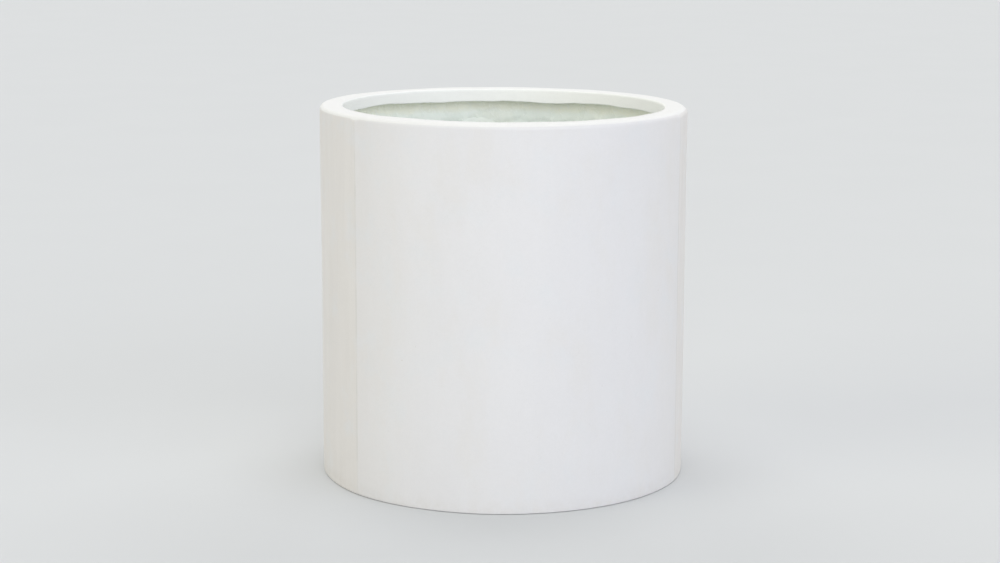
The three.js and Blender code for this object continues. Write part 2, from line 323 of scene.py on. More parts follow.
# Camera and light
CAMERA_PLACE = (0, -3.5406, 0.9737)
CAMERA_LENS = 78.02
CAMERA_DOWN = math.radians(10.577)
CAMERA_LEFT = math.radians(0.0848)
CAMERA_ROLL = 0.0023
FLOOR_REACH = 120
SKY_LIGHT = (0.5, 0.5, 0.5, 1)
# Each lamp: name, angle to the right of the front, height angle, strength, colour, softness
LAMPS = (
    ("front_light", 12, 18, 0.775, (0.96, 0.97, 1), 40),
    ("left_light", -62, 16, 0.68, (1, 0.965, 0.77), 40),
    ("right_light", 52, 16, 0.625, (0.88, 0.91, 1), 40),
    ("top_light", 0, 88, 0.61, (1, 1, 1), 40),
    ("back_right_light", 150, 38, 0.52, (1, 1, 1), 44),
    ("back_left_light", -150, 38, 0.52, (1, 1, 1), 44),
)


# ---- sizes read from the frame

def corners(node):
    """The distances from the axis and the heights of a node's corners."""
    places = np.array([corner.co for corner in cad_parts[node].data.vertices])
    return np.hypot(places[:, 0], places[:, 1]), places[:, 2]


def span(values):
    """The lowest and the highest of several numbers."""
    return float(values.min()), float(values.max())


wall_radii, wall_heights = corners("wall_panel_front")
FOOT_EDGE_RADIUS, OUTER_RADIUS = span(wall_radii)
FOOT_BOTTOM, WALL_TOP = span(wall_heights)
WALL_INSIDE = float(wall_radii[wall_heights > WALL_TOP - TINY].min())
WALL_THICKNESS = OUTER_RADIUS - WALL_INSIDE
FOOT_TOP = FOOT_BOTTOM + WALL_THICKNESS

rim_radii, rim_heights = corners("rim_ring")
LIP_FACE = float(rim_radii.min())
LIP_BOTTOM, RIM_TOP = span(rim_heights)
SKIRT_BOTTOM = float(rim_heights[rim_radii > OUTER_RADIUS - TINY].min())
LIP_BACK = float(rim_radii[rim_heights < LIP_BOTTOM + TINY].max())
RIM_THICKNESS = LIP_BACK - LIP_FACE
SKIRT_BACK = OUTER_RADIUS - RIM_THICKNESS
RIM_UNDERSIDE = RIM_TOP - RIM_THICKNESS

rim_tape_radii, rim_tape_heights = corners("rim_tape")
TAPE_INSIDE = float(rim_tape_radii.min())
TAPE_THICKNESS = WALL_INSIDE - TAPE_INSIDE

pan_radii, pan_heights = corners("base_pan")
PAN_RADIUS = float(pan_radii.max())
PAN_BOTTOM, PAN_CENTRE_TOP = span(pan_heights)
PAN_TOP = float(pan_heights[pan_radii > PAN_RADIUS - TINY].max())
PAN_RISE = PAN_CENTRE_TOP - PAN_TOP
CENTRE_RADIUS = float(pan_radii[pan_heights > PAN_CENTRE_TOP - TINY].max())


# ---- sections and relief

def unit(vector):
    return vector / np.linalg.norm(vector)


def rounded(before, corner, after, radius):
    """The points of the round that replaces a corner."""
    if radius == 0:
        return corner[None]
    back, ahead = unit(before - corner), unit(after - corner)
    half = math.acos(float(np.clip(back @ ahead, -1, 1))) / 2
    centre = corner + unit(back + ahead) * radius / math.sin(half)
    start = corner + back * radius / math.tan(half) - centre
    end = corner + ahead * radius / math.tan(half) - centre
    turn_angle = math.pi - 2 * half
    share = np.linspace(0, 1, ARC_STEPS + 1)[:, None]
    swept = np.sin((1 - share) * turn_angle) * start + np.sin(share * turn_angle) * end
    return centre + swept / math.sin(turn_angle)


def outline(points, step, closed=True):
    """A section through points of (radius, height, rounding), filled in so that no gap is over a step."""
    places = [np.array(point[:2], float) for point in points]
    last = len(points) - 1
    rounds = []
    for index, corner in enumerate(places):
        before, after = places[index - 1], places[(index + 1) % len(places)]
        is_end = not closed and index in (0, last)
        rounds.append(rounded(before, corner, after, 0 if is_end else points[index][2]))
    made = []
    for index, piece in enumerate(rounds):
        made.append(piece)
        if closed or index < last:
            start, end = piece[-1], rounds[(index + 1) % len(rounds)][0]
            count = max(1, math.ceil(np.linalg.norm(end - start) / step))
            made.append(start + (end - start) * (np.arange(1, count) / count)[:, None])
    return np.concatenate(made)


def outward(radius, height):
    """The outward directions along the last axis of closed anticlockwise sections."""
    across = np.roll(height, -1, -1) - np.roll(height, 1, -1)
    upward = np.roll(radius, 1, -1) - np.roll(radius, -1, -1)
    length = np.hypot(across, upward)
    return across / length, upward / length


def ripple(seed, angle, height, waves):
    """Smooth random waves, about 1 high, that close on themselves round the axis."""
    turns, rise, count = waves
    draw = np.random.default_rng(seed)
    total = 0
    for _ in range(count):
        around_axis = draw.integers(turns[0], turns[1] + 1)
        upright = draw.uniform(*rise) * draw.choice([-1, 1]) * 2 * math.pi
        total = total + np.cos(around_axis * angle + upright * height + draw.uniform(0, 2 * math.pi))
    return total * math.sqrt(2 / count)


def level_ripple(seed, x, y, waves):
    """Smooth random waves, about 1 high, on a level surface."""
    pitches, count = waves
    draw = np.random.default_rng(seed)
    total = 0
    for _ in range(count):
        heading = draw.uniform(0, 2 * math.pi)
        pitch = draw.uniform(*pitches) * 2 * math.pi
        along = x * math.cos(heading) + y * math.sin(heading)
        total = total + np.cos(pitch * along + draw.uniform(0, 2 * math.pi))
    return total * math.sqrt(2 / count)


def seam_distance(angle):
    """How far round the wall the nearest seam is."""
    turned = (angle - FIRST_SEAM + PANEL_TURN / 2) % PANEL_TURN - PANEL_TURN / 2
    return np.abs(turned) * OUTER_RADIUS


def wall_relief(angle, height):
    """How far the outside of the wall and the skirt stands out from a true cylinder."""
    distance = seam_distance(angle)
    swell = WALL_SWELL * ripple(WALL_SEED, angle, height, WALL_SWELL_WAVES)
    fine = WALL_RIPPLE * ripple(WALL_SEED + 1, angle, height, WALL_RIPPLE_WAVES)
    ridge = SEAM_RIDGE * np.exp(-distance / SEAM_RIDGE_REACH)
    groove = SEAM_GROOVE * np.exp(-((distance / SEAM_GROOVE_REACH) ** 2))
    return swell + fine + ridge - groove


def laminate_relief(seed, angle, height):
    """How lumpy hand-laid laminate is, on a wall."""
    lumps = LAMINATE_LUMPS * ripple(seed, angle, height, LUMP_WAVES)
    fine = LAMINATE_RIPPLE * ripple(seed + 1, angle, height, LAMINATE_RIPPLE_WAVES)
    return lumps + fine


def inner_relief(angle, height):
    """The relief of the wall's inner face, which the tapes on it follow."""
    return laminate_relief(INSIDE_SEED, angle, height)


def torn(seed, position):
    """The wander of a tape's torn edge. A position grows by 2 pi where the edge closes on itself."""
    coarse = ripple(seed, position, 0, TORN_COARSE_WAVES)
    fine = ripple(seed + 1, position, 0, TORN_FINE_WAVES)
    return TORN_EDGE * (TORN_COARSE * coarse + TORN_FINE * fine)


def feather(distance):
    """A tape's share of its full thickness at a distance from its torn edge."""
    return np.sin(np.clip(distance / TAPE_FEATHER, 0, 1) * math.pi / 2)


def tape_face(seed, angle, height, cover):
    """The distance from the axis of a tape's face on the wall."""
    body = (TAPE_THICKNESS - TAPE_EDGE) * cover + laminate_relief(seed, angle, height) * cover
    return WALL_INSIDE - inner_relief(angle, height) - TAPE_EDGE - body


def panel_angles():
    """The columns of one panel, closer together towards its two seams."""
    near = np.array(SEAM_COLUMNS) * MM / OUTER_RADIUS
    count = math.ceil((PANEL_TURN - 2 * near[-1]) * OUTER_RADIUS / COLUMN_STEP)
    middle = np.linspace(near[-1], PANEL_TURN - near[-1], count + 1)[1:-1]
    return FIRST_SEAM + np.concatenate([near, middle, PANEL_TURN - near[::-1]])


def ring_angles():
    """The columns of a whole ring, without a second column where it closes."""
    panel = panel_angles()[:-1]
    return np.concatenate([panel + PANEL_TURN * index for index in range(SEAM_COUNT)])


def around(radius, angle, height):
    """Points at distances from the axis, angles round it and heights."""
    radius, angle, height = np.broadcast_arrays(radius, angle, height)
    return np.stack([radius * np.sin(angle), -radius * np.cos(angle), height], -1)


# ---- meshes

def new_mesh(name, points, faces):
    mesh = bpy.data.meshes.new(name)
    mesh.from_pydata(np.reshape(points, (-1, 3)).tolist(), [], faces)
    return mesh


def strips(columns, rows, made):
    """The faces between neighbouring closed sections, for as many strips as are made."""
    here = np.arange(made)[:, None] * rows
    there = (here + rows) % (columns * rows)
    row = np.arange(rows)[None]
    above = np.roll(row, -1, 1)
    quads = np.stack([here + row, there + row, there + above, here + above], -1)
    return quads.reshape(-1, 4).tolist()


def ring_skin(name, points):
    """A closed mesh over a grid of points: round the axis, and along a closed section."""
    columns, rows = points.shape[:2]
    return new_mesh(name, points, strips(columns, rows, columns))


def sector_skin(name, points, row_slots):
    """A closed mesh over a grid of points that stops at two flat ends."""
    columns, rows = points.shape[:2]
    faces = strips(columns, rows, columns - 1)
    faces.append(list(range(rows)))
    faces.append(list(range((columns - 1) * rows, columns * rows))[::-1])
    mesh = new_mesh(name, points, faces)
    slots = np.concatenate([np.tile(row_slots, columns - 1), [1, 1]])
    mesh.polygons.foreach_set("material_index", slots.astype(np.int32))
    return mesh


def slab_skin(name, front, back):
    """A closed mesh between two grids of points, a front one and a back one."""
    columns, rows = front.shape[:2]
    shift = columns * rows
    index = np.arange(shift).reshape(columns, rows)
    faces = []
    for grid, step in ((index, 1), (index + shift, -1)):
        quads = np.stack([grid[:-1, :-1], grid[:-1, 1:], grid[1:, 1:], grid[1:, :-1]], -1)
        faces += quads.reshape(-1, 4)[:, ::step].tolist()
    border = np.concatenate([index[:, 0], index[-1, 1:], index[-2::-1, -1], index[0, -2:0:-1]])
    following = np.roll(border, -1)
    faces += np.stack([border, following, following + shift, border + shift], -1).tolist()
    return new_mesh(name, np.concatenate([front.reshape(-1, 3), back.reshape(-1, 3)]), faces)


def lathe_skin(name, section, segments):
    """A closed mesh of an anticlockwise section that starts and ends on the Z axis."""
    inner = section[1:-1]
    rows = len(inner)
    angle = (np.arange(segments) * 2 * math.pi / segments)[:, None]
    rings = around(inner[None, :, 0], angle, inner[None, :, 1]).reshape(-1, 3)
    ends = [[0, 0, section[0, 1]], [0, 0, section[-1, 1]]]
    here = np.arange(segments) * rows
    there = np.roll(here, -1)
    bottom = np.full(segments, segments * rows)
    row = np.arange(rows - 1)[None]
    start, end = here[:, None] + row, there[:, None] + row
    faces = np.stack([start, end, end + 1, start + 1], -1).reshape(-1, 4).tolist()
    faces += np.stack([bottom, there, here], -1).tolist()
    faces += np.stack([here + rows - 1, there + rows - 1, bottom + 1], -1).tolist()
    return new_mesh(name, np.concatenate([rings, ends]), faces)


def add_object(name, data):
    """Puts a mesh, a lamp or a camera into the scene."""
    made = bpy.data.objects.new(name, data)
    bpy.context.scene.collection.objects.link(made)
    return made


def add_piece(name, mesh, body, node, slot, *materials):
    """Makes a mesh the piece that stands for a node."""
    for material in materials:
        mesh.materials.append(material)
    mesh.shade_smooth()
    mesh.set_sharp_from_angle(angle=SHARP_ANGLE)
    piece = add_object(name, mesh)
    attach(piece, body)
    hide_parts(node)


# ---- the wall

def wall_panel(index, node, gelcoat, laminate):
    """A third of the wall, from seam to seam, with its in-turned foot."""
    section = outline(
        [
            (FOOT_EDGE_RADIUS, FOOT_BOTTOM, TRIM_ROUND),
            (OUTER_RADIUS - FOOT_HEEL, FOOT_BOTTOM, 0),
            (OUTER_RADIUS - FOOT_HEEL / 2, FOOT_BOTTOM - FOOT_DROP, 0),
            (OUTER_RADIUS, FOOT_BOTTOM - FOOT_DROP, FOOT_ROUND),
            (OUTER_RADIUS, SKIRT_BOTTOM, 0),
            (WALL_INSIDE, SKIRT_BOTTOM, 0),
            (WALL_INSIDE, FOOT_TOP, FOOT_FILLET),
            (FOOT_EDGE_RADIUS, FOOT_TOP, TRIM_ROUND),
        ],
        ROW_STEP,
    )
    radius, height = section[:, 0], section[:, 1]
    half = WALL_THICKNESS / 2
    is_outside = (radius > OUTER_RADIUS - half) | (height < FOOT_BOTTOM + half)
    across, upward = outward(radius, height)
    at_top = height > SKIRT_BOTTOM - TINY
    across[at_top] = np.sign(across[at_top])
    upward[at_top] = 0
    angle = (panel_angles() + PANEL_TURN * index)[:, None]
    inside = inner_relief(angle, height - radius + WALL_INSIDE)
    relief = np.where(is_outside, wall_relief(angle, height), inside)
    lift = upward * np.where(is_outside, FOOT_EVENNESS, 1)
    points = around(radius + across * relief, angle, height + lift * relief)
    slots = np.where(is_outside & np.roll(is_outside, -1), 0, 1)
    mesh = sector_skin(node + "_shell", points, slots)
    add_piece(node + "_shell", mesh, "planter", node, "gelcoat", gelcoat, laminate)


# ---- the rim

def lip_end(angle):
    """The height of the lip's hand-trimmed edge."""
    depth = RIM_TOP - LIP_BOTTOM
    depth = depth + LIP_SWELL * ripple(LIP_SEED, angle, 0, LIP_SWELL_WAVES)
    depth = depth + LIP_RIPPLE * ripple(LIP_SEED + 1, angle, 0, LIP_RIPPLE_WAVES)
    for middle, reach, change in LIP_DIPS:
        offset = (np.degrees(angle) - middle + 180) % 360 - 180
        depth = depth + change * np.exp(-((offset / reach) ** 2))
    return RIM_TOP - depth


def straight(start, end, count):
    """The first count points of as many equal steps from a start (radius, height) to an end."""
    share = np.arange(count) / count
    return [first + (last - first) * share for first, last in zip(start, end)]


def sweep(centre, radius, from_degrees, to_degrees, count):
    """The first count points of as many equal steps along an arc."""
    angle = np.radians(from_degrees + (to_degrees - from_degrees) * np.arange(count) / count)
    return [centre[0] + radius * np.cos(angle), centre[1] + radius * np.sin(angle)]


def rim_rows(angle):
    """The rim's sections: those of its moulded face, and those of its laminate back.

    Each stretch of a section ends with the number of its steps.
    """
    edge = RIM_EDGE + RIM_EDGE_LEAN * np.sin(angle)
    at_seam = np.exp(-((seam_distance(angle) / RIM_EDGE_SEAM_REACH) ** 2))
    edge = edge + RIM_EDGE_AT_SEAM * at_seam
    end = lip_end(angle)
    trim = TRIM_ROUND
    under = RIM_UNDERSIDE - RIM_ROOT
    face = [
        straight((OUTER_RADIUS, SKIRT_BOTTOM), (OUTER_RADIUS, RIM_TOP - edge), 3),
        sweep((OUTER_RADIUS - edge, RIM_TOP - edge), edge, 0, 90, 12),
        straight((OUTER_RADIUS - edge, RIM_TOP), (LIP_FACE + LIP_EDGE, RIM_TOP), 9),
        sweep((LIP_FACE + LIP_EDGE, RIM_TOP - LIP_EDGE), LIP_EDGE, 90, 180, 8),
        straight((LIP_FACE, RIM_TOP - LIP_EDGE), (LIP_FACE, end + trim), 7),
        sweep((LIP_FACE + trim, end + trim), trim, 180, 270, 4),
    ]
    back = [
        straight((LIP_FACE + trim, end), (LIP_BACK - trim, end), 3),
        sweep((LIP_BACK - trim, end + trim), trim, -90, 0, 4),
        straight((LIP_BACK, end + trim), (LIP_BACK, under), 7),
        sweep((LIP_BACK + RIM_ROOT, under), RIM_ROOT, 180, 90, 5),
        straight((LIP_BACK + RIM_ROOT, RIM_UNDERSIDE), (SKIRT_BACK - RIM_ROOT, RIM_UNDERSIDE), 6),
        sweep((SKIRT_BACK - RIM_ROOT, under), RIM_ROOT, 90, 0, 5),
        straight((SKIRT_BACK, under), (SKIRT_BACK, SKIRT_BOTTOM), 2),
        straight((SKIRT_BACK, SKIRT_BOTTOM), (OUTER_RADIUS, SKIRT_BOTTOM), 3),
    ]
    return [
        [np.concatenate([stretch[axis] + 0 * angle for stretch in half], 1) for axis in (0, 1)]
        for half in (face, back)
    ]


def rim_ring(gelcoat, laminate):
    """The rolled rim, with a round outer edge, a nearly flat top and a hand-trimmed lip."""
    angle = ring_angles()[:, None]
    face, back = rim_rows(angle)
    radius = np.concatenate([face[0], back[0]], 1)
    height = np.concatenate([face[1], back[1]], 1)
    is_face = np.arange(radius.shape[1]) < face[0].shape[1]
    across, upward = outward(radius, height)
    across[:, 0], upward[:, 0] = 1, 0
    above_skirt = np.clip((height - SKIRT_BOTTOM) / (RIM_UNDERSIDE - SKIRT_BOTTOM), 0, 1)
    lift = np.where(radius > LIP_BACK + RIM_ROOT, above_skirt, 1)
    top = RIM_SWELL * ripple(RIM_TOP_SEED, angle, radius, RIM_SWELL_WAVES)
    top = top + RIM_RIPPLE * ripple(RIM_TOP_SEED + 1, angle, radius, RIM_RIPPLE_WAVES)
    moulded = wall_relief(angle, height) * np.clip(across, 0, 1) + top * lift
    rough = laminate_relief(RIM_BACK_SEED, angle, height) * RIM_BACK_SHARE * lift
    relief = np.where(is_face, moulded, rough)
    raised = height + upward * relief - RIM_LEAN * np.sin(angle) * lift
    points = around(radius + across * relief, angle, raised)
    mesh = ring_skin("rim_ring_shell", points)
    slots = np.tile(np.where(is_face, 0, 1), len(angle))
    mesh.polygons.foreach_set("material_index", slots.astype(np.int32))
    add_piece("rim_ring_shell", mesh, "planter", "rim_ring", "gelcoat", gelcoat, laminate)


# ---- laminate tapes and the pan

def rim_tape(laminate):
    """The band that bonds the rim's skirt to the wall, with a torn lower edge."""
    angle = ring_angles()[:, None]
    low, high = span(rim_tape_heights)
    bottom = low - RIM_TAPE_LOWER + torn(RIM_TAPE_EDGE_SEED, angle)
    top = high + RIM_TAPE_HIGHER + 0 * angle
    height = top + (bottom - top) * np.linspace(0, 1, RIM_TAPE_ROWS)
    face = tape_face(RIM_TAPE_SEED, angle, height, feather(height - bottom))
    back = WALL_INSIDE + TAPE_SINK + 0 * angle
    radius = np.concatenate([back, back, face], 1)
    points = around(radius, angle, np.concatenate([bottom, top, height], 1))
    mesh = ring_skin("rim_tape_band", points)
    add_piece("rim_tape_band", mesh, "planter", "rim_tape", "raw_laminate", laminate)


def seam_tape(index, node, laminate):
    """The strip over one seam, with torn sides and thin ends under the other tapes."""
    width = SEAM_TAPE_WIDTH / WALL_INSIDE
    low, high = span(corners(node)[1])
    low, high = low - TAPE_LAP, high + TAPE_LAP
    height = np.linspace(low, high, math.ceil((high - low) / SEAM_TAPE_STEP))[None]
    middle = FIRST_SEAM + PANEL_TURN * index
    seeds = [SEAM_TAPE_EDGE_SEED + SEEDS_EACH * (2 * index + side) for side in (0, 1)]
    sides = [torn(seed, height * SEAM_TAPE_WANDER) / WALL_INSIDE for seed in seeds]
    left, right = -width / 2 + sides[0], width / 2 + sides[1]
    offset = left + (right - left) * np.linspace(0, 1, SEAM_TAPE_COLUMNS)[:, None]
    angle = middle + offset
    inset = np.minimum(offset - left, right - offset) * WALL_INSIDE
    cover = feather(inset) * feather(height - low) * feather(high - height)
    face = tape_face(SEAM_TAPE_SEED + SEEDS_EACH * index, angle, height, cover)
    front = around(face, angle, height)
    back = around(WALL_INSIDE + TAPE_SINK, angle, height)
    mesh = slab_skin(node + "_strip", front, back)
    add_piece(node + "_strip", mesh, "planter", node, "raw_laminate", laminate)


def base_tape_path():
    """The base tape's face, from its edge on the wall down and in to its edge on the pan."""
    radii, heights = corners("base_tape")
    lap = PAN_TOP + TAPE_THICKNESS
    points = [
        (TAPE_INSIDE, float(heights.max()), 0),
        (TAPE_INSIDE, lap, COVE_RADIUS),
        (float(radii.min()), lap, 0),
    ]
    return outline(points, BASE_TAPE_STEP, False)


def base_tape(laminate):
    """The angle that bonds the pan to the wall, with a cove in its corner and torn edges."""
    path = base_tape_path()
    steps = np.linalg.norm(np.diff(path, axis=0), axis=1)
    from_top = np.concatenate([[0], np.cumsum(steps)])
    from_edge = from_top[-1] - from_top
    across, upward = np.gradient(path[:, 1]), -np.gradient(path[:, 0])
    length = np.hypot(across, upward)
    across, upward = across / length, upward / length
    angle = ring_angles()[:, None]
    cover = feather(from_top) * feather(from_edge)
    relief = laminate_relief(BASE_TAPE_SEED, angle, from_top) * cover
    relief = relief + inner_relief(angle, path[:, 1]) * np.clip(-across, 0, 1)
    depth = relief - (TAPE_THICKNESS - TAPE_EDGE) * (1 - cover)
    rise = np.clip(1 - from_top / EDGE_PULL, 0, 1) * torn(BASE_TAPE_TOP_SEED, angle)
    reach = np.clip(1 - from_edge / EDGE_PULL, 0, 1) * torn(BASE_TAPE_EDGE_SEED, angle)
    radius = path[:, 0] + across * depth + reach
    height = path[:, 1] + upward * depth + rise
    behind = WALL_INSIDE + TAPE_SINK + 0 * angle
    below = PAN_TOP - TAPE_SINK + 0 * angle
    radius = np.concatenate([radius, radius[:, -1:], behind - COVE_RADIUS / 2, behind, behind], 1)
    height = np.concatenate([height, below, below, below + COVE_RADIUS / 2, height[:, :1]], 1)
    mesh = ring_skin("base_tape_band", around(radius, angle, height))
    add_piece("base_tape_band", mesh, "planter", "base_tape", "raw_laminate", laminate)


def middle_of(node):
    """The place of a small round node's own axis."""
    low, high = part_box(node)
    return (low.x + high.x) / 2, (low.y + high.y) / 2


def hole_drill(place):
    """A drill for a drain hole, with the hole's eased upper edge."""
    wide = HOLE_RADIUS + HOLE_EASING
    section = np.array(
        [
            (0, PAN_BOTTOM - DRILL_SPARE),
            (HOLE_RADIUS, PAN_BOTTOM - DRILL_SPARE),
            (HOLE_RADIUS, PAN_TOP - HOLE_EASING),
            (HOLE_RADIUS + HOLE_EASING * EASING_BELLY, PAN_TOP - HOLE_EASING * EASING_BELLY),
            (wide, PAN_TOP),
            (wide, PAN_TOP + DRILL_SPARE),
            (0, PAN_TOP + DRILL_SPARE),
        ]
    )
    mesh = lathe_skin("drill", section, RUBBER_SEGMENTS)
    mesh.transform(Matrix.Translation((*place, 0)))
    return mesh


def cut(mesh, tool):
    """What is left of a mesh outside a tool."""
    objects = [add_object(part.name, part) for part in (mesh, tool)]
    modifier = objects[0].modifiers.new("cut", "BOOLEAN")
    modifier.object = objects[1]
    modifier.solver = "EXACT"
    evaluated = objects[0].evaluated_get(bpy.context.evaluated_depsgraph_get())
    left = bpy.data.meshes.new_from_object(evaluated)
    for made in objects:
        bpy.data.objects.remove(made)
    return left


def roughen_pan(mesh, holes):
    """Lifts and lowers the pan's corners by the laminate's lumps, less so near its holes and edge."""
    points = np.array([vertex.co for vertex in mesh.vertices])
    normals = np.array([vertex.normal for vertex in mesh.vertices])
    x, y = points[:, 0], points[:, 1]
    lumps = LAMINATE_LUMPS * level_ripple(PAN_SEED, x, y, PAN_LUMP_WAVES)
    lumps = lumps + LAMINATE_RIPPLE * level_ripple(PAN_SEED + 1, x, y, PAN_RIPPLE_WAVES)
    near = np.min([np.hypot(x - hole[0], y - hole[1]) for hole in holes], 0)
    fade = np.clip((near - HOLE_LAND) / HOLE_LAND_FADE, 0, 1)
    fade = fade * np.clip((PAN_RADIUS - np.hypot(x, y)) / PAN_EDGE_FADE, PAN_EDGE_SHARE, 1)
    points[:, 2] += lumps * fade * np.where(normals[:, 2] > 0, 1, PAN_UNDER_SHARE)
    mesh.vertices.foreach_set("co", points.ravel())


def base_pan(laminate, plugs):
    """The bottom: a raised centre, a slope and a flat channel with the drain holes."""
    channel_radius = CENTRE_RADIUS + PAN_SLOPE
    section = outline(
        [
            (0, PAN_BOTTOM + PAN_RISE, 0),
            (CENTRE_RADIUS, PAN_BOTTOM + PAN_RISE, PAN_ROUND),
            (channel_radius, PAN_BOTTOM, PAN_ROUND),
            (PAN_RADIUS, PAN_BOTTOM, TRIM_ROUND),
            (PAN_RADIUS, PAN_TOP, TRIM_ROUND),
            (channel_radius, PAN_TOP, PAN_ROUND),
            (CENTRE_RADIUS, PAN_CENTRE_TOP, PAN_ROUND),
            (0, PAN_CENTRE_TOP, 0),
        ],
        ROW_STEP,
        False,
    )
    mesh = lathe_skin("base_pan_tray", section, PAN_SEGMENTS)
    holes = [middle_of(node) for node in plugs]
    roughen_pan(mesh, holes)
    for hole in holes:
        mesh = cut(mesh, hole_drill(hole))
    add_piece("base_pan_tray", mesh, "planter", "base_pan", "raw_laminate", laminate)


# ---- rubber plugs and pads

def turned_rubber(name, node, body, section, rubber):
    """Turns a section into a small round rubber piece at its node's place."""
    mesh = lathe_skin(name, section, RUBBER_SEGMENTS)
    mesh.transform(Matrix.Translation((*middle_of(node), 0)))
    add_piece(name, mesh, body, node, "rubber", rubber)


def drain_plug(node, body, rubber):
    """A moulded bung: a tapered stem, a flange with a raised ring, and a knob with a dimple."""
    low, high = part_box(node)
    flange_radius = (high.x - low.x) / 2
    flange_bottom = PAN_TOP + FLANGE_CLEARANCE
    flange_top = PAN_TOP + FLANGE_THICKNESS
    hollow_floor = low.z + STEM_HOLLOW_DEPTH
    dimple_floor = high.z - KNOB_DIMPLE_DEPTH
    ring_top = flange_top + RING_RISE
    points = [
        (0, hollow_floor, 0),
        (STEM_HOLLOW[0], hollow_floor, 1.2 * MM),
        (STEM_HOLLOW[1], low.z, 0.5 * MM),
        (STEM_RADIUS - STEM_TAPER, low.z, 0.9 * MM),
        (STEM_RADIUS, flange_bottom, 0.3 * MM),
        (flange_radius, flange_bottom, 0.5 * MM),
        (flange_radius, flange_top, 1.3 * MM),
        (RING_EDGES[3], flange_top - FLANGE_FALL, FINE_ROUND),
        (RING_EDGES[2], ring_top, 0.3 * MM),
        (RING_EDGES[1], ring_top, 0.3 * MM),
        (RING_EDGES[0], flange_top, FINE_ROUND),
        (NECK_RADIUS, flange_top, 1.6 * MM),
        (NECK_RADIUS - NECK_TAPER, high.z - KNOB_FLARE, 1 * MM),
        (KNOB_RADIUS, high.z - KNOB_HEIGHT, 1 * MM),
        (KNOB_RADIUS, high.z, 1.8 * MM),
        (KNOB_DIMPLE[1], high.z, 0.6 * MM),
        (KNOB_DIMPLE[0], dimple_floor, 0.6 * MM),
        (0, dimple_floor, 0),
    ]
    turned_rubber(node + "_bung", node, body, outline(points, PLUG_STEP, False), rubber)


def foot_pad(node, rubber):
    """A moulded pad with a ring groove and a dimple in its underside."""
    low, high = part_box(node)
    radius = (high.x - low.x) / 2
    top = FOOT_BOTTOM + PAD_SINK
    points = [
        (0, PAD_DIMPLE_DEPTH, 0),
        (PAD_DIMPLE[0], PAD_DIMPLE_DEPTH, 0.4 * MM),
        (PAD_DIMPLE[1], 0, FINE_ROUND),
        (PAD_GROOVE[0], 0, FINE_ROUND),
        (PAD_GROOVE[1], PAD_GROOVE_DEPTH, FINE_ROUND),
        (PAD_GROOVE[2], PAD_GROOVE_DEPTH, FINE_ROUND),
        (PAD_GROOVE[3], 0, FINE_ROUND),
        (radius, 0, 0.7 * MM),
        (radius, top, 0.3 * MM),
        (0, top, 0),
    ]
    turned_rubber(node + "_disc", node, "planter", outline(points, PAD_STEP, False), rubber)


# ---- materials

